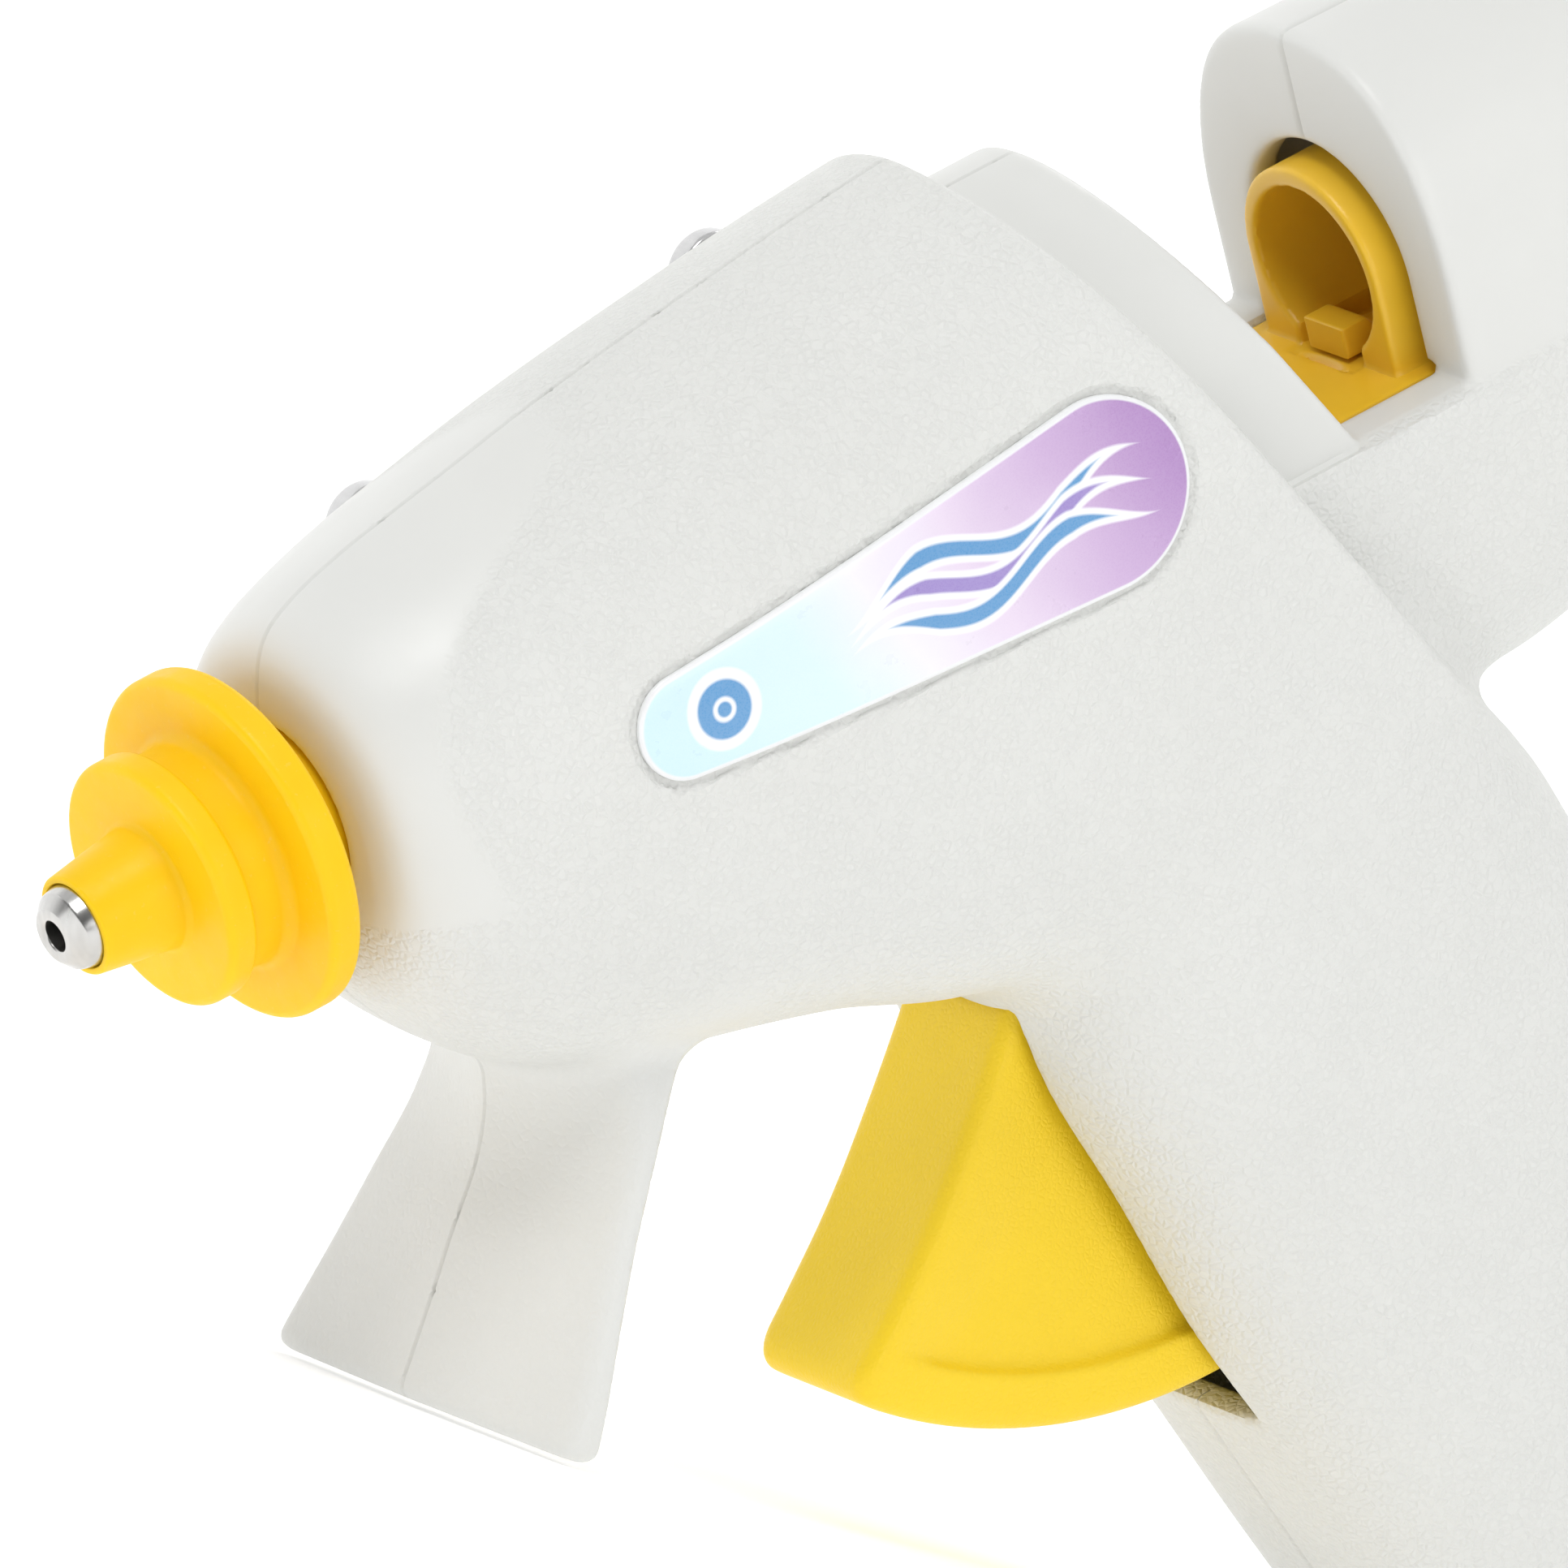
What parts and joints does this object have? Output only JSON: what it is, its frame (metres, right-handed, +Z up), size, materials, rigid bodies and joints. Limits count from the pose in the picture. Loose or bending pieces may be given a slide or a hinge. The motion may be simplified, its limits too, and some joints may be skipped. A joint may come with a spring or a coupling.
{
  "type": "hot glue gun",
  "caption": "Hot-melt glue gun with a clamshell body, a trigger-fed stick carriage and a silicone-covered nozzle, standing on its foot and handle.",
  "frame": {"origin": "on the sole of the front foot, on the parting plane", "axes": "+Z up with the gun standing nose-down; nozzle towards -X; +Y to the gun's right-hand side"},
  "size_m": [0.1538, 0.034, 0.1133],
  "materials": {
    "housing_left": "fine leather grain",
    "housing_right": "fine leather grain",
    "nozzle_tip": "turned and polished",
    "nozzle_cover": "soft matte silicone",
    "melt_chamber": "cast",
    "heater_element": "fired",
    "heater_electrodes": "rolled",
    "heater_film": "thin film",
    "chamber_collar": "moulded phenolic",
    "stick_sleeve": "silicone",
    "sleeve_clamp": "rolled strip",
    "trigger": "fine matte grain",
    "trigger_pin": "ground",
    "link_pin": "ground",
    "feeder_carriage": "satin",
    "grip_lever": "satin",
    "grip_pin": "ground",
    "return_spring": "drawn wire",
    "stick_inlet_ring": "satin",
    "cord_grommet": "matte",
    "terminal_block": "moulded",
    "heater_leads": "silicone insulation",
    "label": "printed film",
    "housing_screws": "plated"
  },
  "bodies": {
    "housing": {"housing_left": "housing_left", "housing_right": "housing_right", "nozzle_tip": "nozzle_tip", "nozzle_cover": "nozzle_cover", "melt_chamber": "melt_chamber", "heater_element": "heater_element", "heater_electrodes": "heater_electrodes", "heater_film": "heater_film", "chamber_collar": "chamber_collar", "stick_sleeve": "stick_sleeve", "sleeve_clamp": "sleeve_clamp", "trigger_pin": "trigger_pin", "stick_inlet_ring": "stick_inlet_ring", "cord_grommet": "cord_grommet", "terminal_block": "terminal_block", "heater_leads": "heater_leads", "label": "label", "housing_screws": "housing_screws", "return_spring": "return_spring"},
    "trigger": {"trigger": "trigger", "link_pin": "link_pin"},
    "carriage": {"feeder_carriage": "feeder_carriage", "grip_pin": "grip_pin"},
    "grip": {"grip_lever": "grip_lever"}
  },
  "joints": [
    {"name": "trigger_pull", "type": "hinge", "parent": "housing", "child": "trigger", "pos_m": [0.03277, 0, 0.04593], "axis": [0, -1, 0], "range_deg": [0, 30], "stiffness_Nm_per_rad": 0.15, "springref_deg": -20.05},
    {"name": "carriage_slide", "type": "slide", "parent": "housing", "child": "carriage", "axis": [-0.788, 0, -0.6157], "range_m": [0, 0.007], "deforming": ["return_spring"]},
    {"name": "grip_pivot", "type": "hinge", "parent": "carriage", "child": "grip", "pos_m": [0.05177, 0, 0.08171], "axis": [0, 1, 0], "range_deg": [0, 8]}
  ],
  "couplings": [
    {"joint": "carriage_slide", "follows": "trigger_pull", "m_per_rad": 0.013346},
    {"joint": "grip_pivot", "follows": "trigger_pull", "ratio": 0.25}
  ]
}
